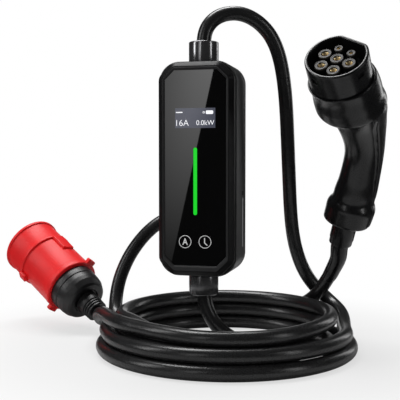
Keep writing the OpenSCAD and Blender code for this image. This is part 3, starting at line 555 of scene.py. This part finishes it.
sleeve_profile = rounded([(0, -30), (0, 0), (3, 0), (3, -22.9)], [0, 1.3, 1.0, 0], 6, closed=False)
verts, faces = skin([sleeve_ring(i, z) for i, z in sleeve_profile], close_end=True)
gun_sleeve = mesh_piece("gun_sleeve", placed(AT_GUN, verts), faces, 40)


def cut(obj, boxes, at):
    """Takes boxes out of a mesh: each is a centre, a size and a turn about Z, in the place's own frame."""
    verts, faces = [], []
    for centre, size, turn in boxes:
        base = len(verts)
        t = math.radians(turn)
        for sx in (-0.5, 0.5):
            for sy in (-0.5, 0.5):
                for sz in (-0.5, 0.5):
                    x, y, z = centre[0] + sx * size[0], centre[1] + sy * size[1], centre[2] + sz * size[2]
                    verts.append((x * math.cos(t) - y * math.sin(t), x * math.sin(t) + y * math.cos(t), z))
        faces += [[base + i for i in f] for f in (
            (0, 1, 3, 2), (4, 6, 7, 5), (0, 4, 5, 1), (2, 3, 7, 6), (0, 2, 6, 4), (1, 5, 7, 3))]
    tool = mesh_piece("cutter", placed(at, verts), faces)
    mod = obj.modifiers.new("pockets", "BOOLEAN")
    mod.object = tool
    mod.operation = "DIFFERENCE"
    mod.solver = "EXACT"
    bpy.context.view_layer.update()
    done = bpy.data.meshes.new_from_object(obj.evaluated_get(bpy.context.evaluated_depsgraph_get()))
    obj.modifiers.clear()
    obj.data = done
    bpy.data.objects.remove(tool)
    flat_shade(done, 40)


cut(gun_sleeve, [((27.9, 0, -9), (4.2, 7, 5.5), a) for a in (-97, -6, 186)], AT_GUN)
own(gun_sleeve, "gun", "case_plastic", "connector_sleeve")
# dark plates on the pocket floors: painted shade, standing for the shade deep inside the three pockets
verts, faces = [], []
for a in (-97, -6, 186):
    base = len(verts)
    t = math.radians(a)
    for y, z in ((-3.6, -11.8), (3.6, -11.8), (3.6, -6.2), (-3.6, -6.2)):
        verts.append((25.9 * math.cos(t) - y * math.sin(t), 25.9 * math.sin(t) + y * math.cos(t), z))
    faces.append((base, base + 1, base + 2, base + 3))
own(mesh_piece("pocket_floors_painted_shade", placed(AT_GUN, verts), faces), "carrier", "black_plastic")

POWER = [(0, 0), (13.45, 0), (-13.45, 0), (6.7, -13.1), (-6.7, -13.1)]
SIGNAL = [(6.9, 11), (-6.9, 11)]


def ring_set(name, spots, profile_of, finish, slot, radii=0.25):
    verts, faces = [], []
    for i, (x, y) in enumerate(spots):
        one = lathe("ring", profile_of(i), turn_matrix((0, 0, 0), (0, 0, 0)), radii, sides=40, steps=3)
        base = len(verts)
        verts += [(v.co.x / MM + x, v.co.y / MM + y, v.co.z / MM) for v in one.data.vertices]
        faces += [[base + k for k in f.vertices] for f in one.data.polygons]
        bpy.data.objects.remove(one)
    return own(mesh_piece(name, placed(AT_GUN, verts), faces), finish, slot)


def rim(outer_r, inner_r):
    return [(inner_r, -4), (inner_r, -2.35), (outer_r - 0.25, -2.35), (outer_r + 0.1, -2.6), (outer_r + 0.1, -4)]


ring_set("contact_rims", POWER + SIGNAL, lambda i: rim(5.7, 5.0) if i < 5 else rim(3.7, 3.1), "rim_grey",
         "grey_plastic")


def mouth(r):
    return [(r + 0.42, -9), (r + 0.42, -3.6), (r + 0.1, -3.4), (0.5 * r, -5.6), (0.5 * r, -9)]


ring_set("contact_mouths", POWER + SIGNAL, lambda i: mouth(3.0) if i < 5 else mouth(1.5), "brass", "brass", 0.15)


# connector handle: the body, the grip panel and the spine strip, lofted through the source's stations

STATIONS = [
    (0.5, -26, 0, 30.5, 30.5), (3, -35, -3, 31, 30.4), (3.6, -48, -4, 32, 31.1), (5.7, -60.3, -4, 31.4, 29.4),
    (9.8, -69.3, -3, 29.1, 26.9), (12, -77.3, -2, 26.1, 26.4), (12.6, -85.6, 0, 23, 25.8), (12.9, -96.3, 3, 20.9, 24.6),
    (11.9, -108.7, 8, 19.4, 22.6), (8.6, -125.9, 16, 18.3, 20.9), (1.2, -142, 24, 18.7, 20.8),
    (-8, -157.2, 30, 19.6, 21.5), (-15.5, -168, 33, 20.2, 21.8), (-20, -174, 34, 20.8, 21.8),
    (-23, -177.6, 34.5, 23.2, 23), (-28.5, -184.5, 35, 24.2, 23.3), (-34.4, -191.4, 35, 23.8, 22.6),
]


def fine_stations(step=1.0):
    s = V(STATIONS, float)
    h = np.linalg.norm(np.diff(s[:, :2], axis=0), axis=1)
    t = np.concatenate([[0], np.cumsum(h)])
    n = len(s)
    a, b = np.zeros((n, n)), np.zeros((n, 5))
    a[0, :2] = 2, 1
    b[0] = 3 * (s[1] - s[0]) / h[0]
    a[-1, -2:] = 1, 2
    b[-1] = 3 * (s[-1] - s[-2]) / h[-1]
    for i in range(1, n - 1):
        a[i, i - 1 : i + 2] = 1 / h[i - 1], 2 / h[i - 1] + 2 / h[i], 1 / h[i]
        b[i] = 3 * ((s[i] - s[i - 1]) / h[i - 1] ** 2 + (s[i + 1] - s[i]) / h[i] ** 2)
    m = np.linalg.solve(a, b)
    out = []
    for i in range(n - 1):
        k = max(2, int(round(h[i] / step)))
        for u in np.arange(k) / k:
            h00, h10 = 2 * u**3 - 3 * u**2 + 1, u**3 - 2 * u**2 + u
            h01, h11 = -2 * u**3 + 3 * u**2, u**3 - u**2
            out.append((t[i] + u * h[i], h00 * s[i] + h10 * h[i] * m[i] + h01 * s[i + 1] + h11 * h[i] * m[i + 1]))
    out.append((t[-1], s[-1]))
    return out


def smooth(x, a, b):
    u = min(1, max(0, (x - a) / (b - a)))
    return u * u * (3 - 2 * u)


def handle_point(s, a, lift):
    a, tilt = math.radians(a), math.radians(s[2])
    w, d = s[3] + lift, s[4] + lift
    return (w * math.cos(a), s[0] + d * math.sin(a) * math.cos(tilt), s[1] - d * math.sin(a) * math.sin(tilt))


PANEL_TOP, PANEL_END = 37.5, 160
STRIP_FROM, STRIP_FULL, STRIP_STEPS = 34, 62, 60
FOOT = sum(math.dist(a[:2], b[:2]) for a, b in zip(STATIONS[:13], STATIONS[1:14]))


def strip(t):
    """Half the angle that the spine strip covers, at this length along the handle."""
    return 98 - 17 * smooth(t, 60, 150)


def panel(t, off, girth):
    """How deep the grip panel lies at this place: off is the angle from the spine's middle."""
    d1 = t - PANEL_TOP
    if -14 < d1 <= 0:
        return -1.9 * smooth(d1, -14, -0.8) * (1 - smooth(d1, -1.1, 0))
    d2 = math.radians(off - strip(t) - 3) * girth
    if d1 <= 0 or d2 <= 0 or t > PANEL_END:
        return 0
    corner = 12
    d = min(d1, d2)
    if d1 < corner and d2 < corner:
        d = corner - math.hypot(corner - d1, corner - d2)
    groove = 2.1 * math.exp(-(((d - 1.7) / 1.0) ** 2)) * (1 - smooth(d1, 5, 26))
    return (1.3 * smooth(d, 0, 1.1) + groove) * (1 - smooth(t, PANEL_END - 25, PANEL_END))


def shoulder(t):
    """How far the foot's upper edge stands out at this length along the handle."""
    return 0.45 * smooth(t, FOOT + 0.4, FOOT + 2.2) * (1 - smooth(t, FOOT + 3, FOOT + 12))


def handle_rings(n=120):
    fine = fine_stations()
    rings = []
    first = fine[0][1]
    lead_in = [(28.15, -30), (28.15, -27.2), (28.5, -26.4), (29.2, -26.02), (29.9, -26.05), (30.35, -26.5)]
    angles = [90 + 360 * j / n for j in range(n)]
    for r, z in lead_in:
        k = min(1, (r - 28.15) / 2.35)
        rings.append([(r * math.cos(math.radians(a)), 0.5 * k + r * math.sin(math.radians(a)), z) for a in angles])
    for t, s in fine:
        if t < 1.2:
            continue
        ring = []
        for a in angles:
            off = abs((a - 90 + 180) % 360 - 180)
            beside = (off - strip(t)) * math.radians(1) * s[4]
            groove = -0.7 * math.exp(-((beside / 0.5) ** 2)) * smooth(t, STRIP_FROM, STRIP_FULL)
            ring.append(handle_point(s, a, groove + shoulder(t) - panel(t, off, (s[3] + s[4]) / 2)))
        rings.append(ring)
    last = STATIONS[-1]
    tilt = math.radians(35)
    for less, out in ((0.4, 1.0), (1.2, 1.9), (2.4, 2.5), (4.4, 2.8), (11, 2.9)):
        s = (last[0] - out * math.sin(tilt), last[1] - out * math.cos(tilt), 35, last[3] - less, last[4] - less)
        rings.append([handle_point(s, a, 0) for a in angles])
    return rings


verts, faces = skin(handle_rings())
own(mesh_piece("gun_body", placed(AT_GUN, verts), faces, 50), "gun", "case_plastic", "connector_handle")


def spine_rings():
    rows = []
    fine = [f for f in fine_stations() if f[0] >= STRIP_FROM]
    first, last = fine[0][0], fine[-1][0]
    for k, (t, s) in enumerate(fine):
        row = []
        for j in range(STRIP_STEPS + 1):
            off = (2 * j / STRIP_STEPS - 1) * (strip(t) - 1.2)
            edge = (strip(t) - 1.2 - abs(off)) * math.radians(1) * s[4]
            lift = smooth(edge, -0.6, 1.4) * smooth(last - t, -0.5, 1.5) * smooth(t, first, STRIP_FULL)
            row.append(handle_point(s, 90 + off, 1.15 * lift - 0.15 + shoulder(t)))
        rows.append(row)
    return rows


verts, faces = skin(spine_rings(), around=False)
own(mesh_piece("gun_spine", placed(AT_GUN, verts), faces, 60), "spine", "case_plastic", "handle_spine")


# collar under the handle and the tapered strain relief on the cable

AT_COLLAR = AT_GUN @ turn_matrix((0, -42.5, -203), (-35, 0, 0))
own(lathe("gun_collar", [
    (7.3, 12), (12.4, 12), (12.4, -7), (11.9, -7), (11.75, -13.9), (7.3, -13.9)
], AT_COLLAR, [0, 0.3, 0.3, 0.2, 1.6, 0], steps=5), "gun", "case_plastic", "connector_collar")


def swept(name, points, radii, first, last, sides=40):
    p = V(points, float)
    m, h = even_speeds(p, first, last)
    t = np.linspace(0, 1, 13)[:-1][:, None]
    line = []
    for i in range(len(p) - 1):
        a, b = p[i], p[i + 1]
        line.append((2 * t**3 - 3 * t**2 + 1) * a + (t**3 - 2 * t**2 + t) * h[i] * m[i]
                    + (3 * t**2 - 2 * t**3) * b + (t**3 - t**2) * h[i] * m[i + 1])
    line = np.concatenate([*line, p[-1:]])
    run = np.concatenate([[0], np.cumsum(np.linalg.norm(np.diff(line, axis=0), axis=1))])
    go = np.gradient(line, axis=0)
    go /= np.linalg.norm(go, axis=1)[:, None]
    u = np.cross(go[0], (0.3, 0.5, 0.8))
    rings = []
    for q, g, s in zip(line, go, run):
        u = u - g * (u @ g)
        u /= np.linalg.norm(u)
        w = np.cross(g, u)
        r = np.interp(s / run[-1], *zip(*radii))
        a = np.linspace(0, 2 * math.pi, sides, endpoint=False)[:, None]
        rings.append(q + r * (np.cos(a) * u + np.sin(a) * w))
    verts, faces = skin(rings)
    return mesh_piece(name, verts * MM, faces, 60)


collar_end = placed(AT_GUN, [(0, -50.53, -214.47)])[0] / MM
relief_line = [collar_end, (106.9, 57.4, 90), (104.2, 62, 82.5), (101, 66, 76), (95.5, 71.5, 66)]
own(swept("gun_relief", relief_line, [(0, 9.0), (0.06, 9.0), (0.12, 8.9), (0.9, 7.7), (1, 7.25)],
          way(AT_GUN, (0, -math.sin(COLLAR_TURN), -math.cos(COLLAR_TURN))), (-0.55, 0.6, -0.75)),
    "gun", "cable", "connector_relief")


# supply plug: the red shroud with its key rib, lug and ears, and the black parts behind it

RIB_TURN, LUG_TURN, EAR_TURN = 98, -28, 122
FLOOR_Z, RING_Z, LIP_Z = 62, 103, 134

plug_red = lathe("plug_red", [
    (0, 50), (31, 50), (32, 51), (32, 57), (31.5, 57), (31.5, RING_Z), (33.6, RING_Z), (33.6, RING_Z + 4),
    (32.5, RING_Z + 4), (32.5, LIP_Z), (34, LIP_Z), (34, LIP_Z + 4), (28.5, LIP_Z + 4), (28.5, FLOOR_Z), (0, FLOOR_Z)
], AT_PLUG, [0, 0.5, 0.6, 0.5, 0.3, 0.4, 1.2, 1.2, 0.4, 0.6, 1.2, 1.3, 1.2, 0.5, 0], sides=128, steps=4)
cut(plug_red, [((25.5, 0, 112), (11, 10, 80), RIB_TURN)], AT_PLUG)


def soft_box(x0, x1, wide, z0, z1, turn, edge=0.9, slope=0.0):
    """A box with rounded edges on the shroud: x is its distance from the axis; slope lowers its outer face to z0."""
    verts = []
    for x in (x0, x1):
        for y in (-wide / 2, wide / 2):
            for z in (z0, z1):
                verts.append((x - (slope if x == x1 and z == z0 else 0), y, z))
    faces = [(0, 1, 3, 2), (4, 6, 7, 5), (0, 4, 5, 1), (2, 3, 7, 6), (0, 2, 6, 4), (1, 5, 7, 3)]
    obj = mesh_piece("box", placed(AT_PLUG @ turn_matrix((0, 0, 0), (0, 0, turn)), verts), faces)
    mod = obj.modifiers.new("edges", "BEVEL")
    mod.width = edge * MM
    mod.segments = 4
    mod.limit_method = "NONE"
    bpy.context.view_layer.update()
    mesh = bpy.data.meshes.new_from_object(obj.evaluated_get(bpy.context.evaluated_depsgraph_get()))
    out = ([V(v.co) for v in mesh.vertices], [list(f.vertices) for f in mesh.polygons])
    bpy.data.objects.remove(obj)
    return out


def joined(name, parts, angle=35):
    verts, faces = [], []
    for v, f in parts:
        faces += [[len(verts) + i for i in face] for face in f]
        verts += v
    return mesh_piece(name, verts, faces, angle)


own(plug_red, "red", "red_plastic", "plug_shroud")
own(joined("plug_red_ribs", [
    soft_box(27.5, 34.4, 15, 80.5, RING_Z + 2, RIB_TURN, slope=0.6),
    soft_box(27.5, 36.3, 9, RING_Z - 8, RING_Z + 3, LUG_TURN, edge=1.2),
    soft_box(28, 36.8, 12, 50.6, 56.4, EAR_TURN, edge=1.5),
    soft_box(28, 36.4, 12, 50.6, 56.4, EAR_TURN + 176, edge=1.5),
], 50), "red", "red_plastic")
own(lathe("plug_core", [(0, 61), (20, 61), (20, 74), (0, 74)], AT_PLUG, [0, 0, 0.8, 0]), "inner", "grey_plastic",
    "plug_insert")


def pins(name, places, r):
    parts = []
    for a in places:
        at = AT_PLUG @ turn_matrix((0, 0, 0), (0, 0, a)) @ turn_matrix((13.6, 0, 0), (0, 0, 0))
        one = lathe("pin", [(0, 60), (r, 60), (r, 108), (r * 0.55, 110), (0, 110)], at, [0, 0, 0.8, 0.8, 0], sides=48)
        parts.append(([V(v.co) for v in one.data.vertices], [list(f.vertices) for f in one.data.polygons]))
        bpy.data.objects.remove(one)
    return joined(name, parts)


own(pins("phase_pins", [RIB_TURN + 72 * i for i in range(1, 5)], 2.5), "pin", "pin_metal", "plug_pins")
own(pins("earth_pin", [RIB_TURN], 3.5), "pin", "pin_metal", "plug_earth_pin")
own(lathe("plug_black", [
    (7.2, 23), (14, 23), (15.5, 21), (21, 21), (23.4, 22.6), (26.4, 29), (27.2, 34), (27.5, 39.4), (26.95, 39.8),
    (26.95, 40.5), (27.7, 41), (28, 50.2), (7.2, 50.2)
], AT_PLUG, [0, 0.5, 0.5, 1.2, 1.5, 3, 2, 0.3, 0.2, 0.2, 0.4, 0.2, 0], sides=128, steps=5), "plug_black",
    "case_plastic", "plug_housing")
own(lathe("plug_neck", [
    (7.2, 0), (11.4, 0), (11.9, 0.6), (11.9, 2.4), (10.4, 2.8), (10.4, 3.6), (12.1, 4), (12.1, 5.6), (10.5, 6),
    (10.5, 6.8), (12.3, 7.2), (12.3, 8.8), (10.7, 9.2), (10.7, 10), (12.3, 10.6), (12.9, 20.8), (7.2, 20.8)
], AT_PLUG, [0, 0.5, 0.5, 0.5, 0.4, 0.4, 0.5, 0.5, 0.4, 0.4, 0.5, 0.5, 0.4, 0.4, 0.5, 0.3, 0], sides=96, steps=4),
    "plug_black", "case_plastic", "plug_gland")


# the light line in the groove on the case's right side

def side_plate(name, y0, y1, z0, z1, finish, proud):
    rings = []
    for inset, x in ((0, 38.4), (0, 38.5 + proud * 0.6), (proud * 0.4, 38.5 + proud), (1.0, 38.5 + proud)):
        outline = rounded([(y0 + inset, z0 + inset), (y1 - inset, z0 + inset), (y1 - inset, z1 - inset),
                           (y0 + inset, z1 - inset)], 1.2 - inset * 0.5, 5)
        rings.append([(x, y, z) for y, z in outline])
    verts, faces = skin(rings, close_end=True)
    own(mesh_piece(name, placed(AT_BOX, verts), faces), finish, "case_plastic")


side_plate("side_line", 3.9, 6.9, 104, 153, "line", 0.25)
# a very dark plate over the slot in the case's side: painted shade, standing for the shade inside the slot
side_plate("side_slot_painted_shade", 1.2, 9.2, 155.4, 159.8, "rubber", 0.05)


# finishes of the CAD nodes that stay as they are

KEPT = {
    "rear_shell": "shell", "gasket": "rubber", "front_glass": "glass", "display": "screen",
    "main_board": "board", "board_standoffs": "inner", "relays": "relay", "leakage_sensor": "inner",
    "supply_block": "inner", "terminal_blocks": "terminal", "case_screws": "steel", "gland_nuts": "inner",
    "cord_tails": "cable", "contact_carrier": "carrier", "power_contacts": "brass", "signal_contacts": "brass",
    "contact_potting": "inner",
}
for name, finish in KEPT.items():
    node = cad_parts[name]
    node.data.materials.clear()
    node.data.materials.append(FINISH[finish])
    flat_shade(node.data, 30)

round(curve_length(output_cable), 3)
round(curve_length(input_cable), 3)


# floor, backdrop and light: the floor is a disc in metres that turns into the white backdrop towards its edge

FLOOR_R, FLOOR_X, FLOOR_Y, FLOOR_TOP = 0.38, -0.02, 0.03, -0.0003
FADE_FROM, FADE_TO, WHITE_SHARE = 0.15, 0.36, 0.66


def floor(sides=96):
    mesh = bpy.data.meshes.new("floor")
    turn = np.linspace(0, 2 * math.pi, sides, endpoint=False)
    edge = [(FLOOR_R * math.cos(a) + FLOOR_X, FLOOR_R * math.sin(a) + FLOOR_Y, FLOOR_TOP) for a in turn]
    mesh.from_pydata(edge, [], [tuple(range(sides))])
    obj = bpy.data.objects.new("floor", mesh)
    scene.collection.objects.link(obj)
    mat = bpy.data.materials.new("floor_finish")
    mat.use_nodes = True
    nt = mat.node_tree
    nt.nodes.clear()
    link = nt.links.new
    out = nt.nodes.new("ShaderNodeOutputMaterial")
    matte = nt.nodes.new("ShaderNodeBsdfDiffuse")
    matte.inputs["Color"].default_value = (0.55, 0.55, 0.55, 1)
    white = nt.nodes.new("ShaderNodeEmission")
    white.inputs["Strength"].default_value = 1.0
    seen = nt.nodes.new("ShaderNodeLightPath")
    where = nt.nodes.new("ShaderNodeTexCoord")
    middle = nt.nodes.new("ShaderNodeVectorMath")
    middle.operation = "DISTANCE"
    middle.inputs[1].default_value = (FLOOR_X, FLOOR_Y, 0)
    far = nt.nodes.new("ShaderNodeMapRange")
    far.interpolation_type = "SMOOTHSTEP"
    far.inputs["From Min"].default_value = FADE_FROM
    far.inputs["From Max"].default_value = FADE_TO
    far.inputs["To Min"].default_value = WHITE_SHARE
    far.inputs["To Max"].default_value = 1.0
    share = nt.nodes.new("ShaderNodeMath")
    share.operation = "MULTIPLY"
    link(where.outputs["Object"], middle.inputs[0])
    link(middle.outputs["Value"], far.inputs["Value"])
    link(far.outputs["Result"], share.inputs[1])
    link(seen.outputs["Is Camera Ray"], share.inputs[0])
    mix = nt.nodes.new("ShaderNodeMixShader")
    link(share.outputs["Value"], mix.inputs["Fac"])
    link(matte.outputs["BSDF"], mix.inputs[1])
    link(white.outputs["Emission"], mix.inputs[2])
    link(mix.outputs["Shader"], out.inputs["Surface"])
    mesh.materials.append(mat)


floor()

# the world: white to the camera, even light on matt surfaces, and a white backdrop behind the object for shiny ones

BEHIND, EDGE_OUT, EDGE_IN, ELSEWHERE = (-0.242, 0.970, -0.03), 0.945, 0.985, 0.04

world = bpy.data.worlds.new("studio")
scene.world = world
world.use_nodes = True
nt = world.node_tree
nt.nodes.clear()
link = nt.links.new
out = nt.nodes.new("ShaderNodeOutputWorld")
seen = nt.nodes.new("ShaderNodeLightPath")
backdrop = nt.nodes.new("ShaderNodeBackground")
backdrop.inputs["Color"].default_value = (1, 1, 1, 1)
backdrop.inputs["Strength"].default_value = 1.0
room = nt.nodes.new("ShaderNodeBackground")
room.inputs["Color"].default_value = (1, 1, 1, 1)
room.inputs["Strength"].default_value = 0.3
mirrored = nt.nodes.new("ShaderNodeBackground")
mirrored.inputs["Color"].default_value = (1, 1, 1, 1)
where = nt.nodes.new("ShaderNodeTexCoord")
behind = nt.nodes.new("ShaderNodeVectorMath")
behind.operation = "DOT_PRODUCT"
behind.inputs[1].default_value = BEHIND
spread = nt.nodes.new("ShaderNodeMapRange")
spread.interpolation_type = "SMOOTHSTEP"
spread.inputs["From Min"].default_value = EDGE_OUT
spread.inputs["From Max"].default_value = EDGE_IN
spread.inputs["To Min"].default_value = ELSEWHERE
spread.inputs["To Max"].default_value = 1.0
link(where.outputs["Generated"], behind.inputs[0])
link(behind.outputs["Value"], spread.inputs["Value"])
link(spread.outputs["Result"], mirrored.inputs["Strength"])
shiny = nt.nodes.new("ShaderNodeMath")
shiny.operation = "MAXIMUM"
link(seen.outputs["Is Glossy Ray"], shiny.inputs[0])
link(seen.outputs["Is Transmission Ray"], shiny.inputs[1])
soft = nt.nodes.new("ShaderNodeMixShader")
link(shiny.outputs["Value"], soft.inputs["Fac"])
link(room.outputs["Background"], soft.inputs[1])
link(mirrored.outputs["Background"], soft.inputs[2])
mix = nt.nodes.new("ShaderNodeMixShader")
link(seen.outputs["Is Camera Ray"], mix.inputs["Fac"])
link(soft.outputs["Shader"], mix.inputs[1])
link(backdrop.outputs["Background"], mix.inputs[2])
link(mix.outputs["Shader"], out.inputs["Surface"])


def lamp(name, at, target, wide, high, radiance, roll=0.0, fade=None):
    """A soft box of that radiance; fade holds the shares left at its foot and at its left side."""
    data = bpy.data.lights.new(name, "AREA")
    data.shape = "RECTANGLE"
    data.size, data.size_y = wide, high
    data.energy = radiance * math.pi * wide * high
    obj = bpy.data.objects.new(name, data)
    z = (V(at, float) - V(target, float))
    z /= np.linalg.norm(z)
    up = V((0, 0, 1.0)) if abs(z[2]) < 0.98 else V((0, 1.0, 0))
    x = np.cross(up, z)
    x /= np.linalg.norm(x)
    y = np.cross(z, x)
    c, s = math.cos(math.radians(roll)), math.sin(math.radians(roll))
    x, y = c * x + s * y, c * y - s * x
    aim = Matrix(np.stack([x, y, z], 1).tolist()).to_4x4()
    obj.matrix_world = Matrix.Translation(at) @ aim
    obj.visible_camera = False
    scene.collection.objects.link(obj)
    if fade is not None:
        data.use_nodes = True
        tree = data.node_tree
        emit = tree.nodes["Emission"]
        geo = tree.nodes.new("ShaderNodeNewGeometry")
        split = tree.nodes.new("ShaderNodeSeparateXYZ")
        tree.links.new(geo.outputs["Parametric"], split.inputs["Vector"])
        share = tree.nodes.new("ShaderNodeMath")
        share.operation = "MULTIPLY"
        for i, (axis, low, high_end) in enumerate((("Y", 0.1, 0.75), ("X", 0.45, 1.0))):
            ramp = tree.nodes.new("ShaderNodeMapRange")
            ramp.interpolation_type = "SMOOTHSTEP"
            ramp.inputs["From Min"].default_value = low
            ramp.inputs["From Max"].default_value = high_end
            ramp.inputs["To Min"].default_value = fade[i]
            ramp.inputs["To Max"].default_value = 1.0
            tree.links.new(split.outputs[axis], ramp.inputs["Value"])
            tree.links.new(ramp.outputs["Result"], share.inputs[i])
        tree.links.new(share.outputs["Value"], emit.inputs["Strength"])
    return obj


lamp("overhead", (-0.35, 0.35, 1.7), (0, 0, 0.1), 1.3, 0.5, 13.0)
lamp("left_box", (-1.45, -0.75, 0.95), (0.05, 0, 0.2), 0.35, 1.1, 6.0)
lamp("right_box", (1.6, -0.55, 0.6), (0, 0, 0.18), 0.2, 1.1, 5.0)
lamp("rim_right", (1.0, 1.4, 0.55), (0.05, 0, 0.2), 0.3, 0.9, 3.0)
lamp("front_card", (-0.6432, -1.6408, 0.405), (-0.6432, 0, 0.405), 0.5, 1.6, 3.7, roll=-12.7, fade=(0.0, 0.22))
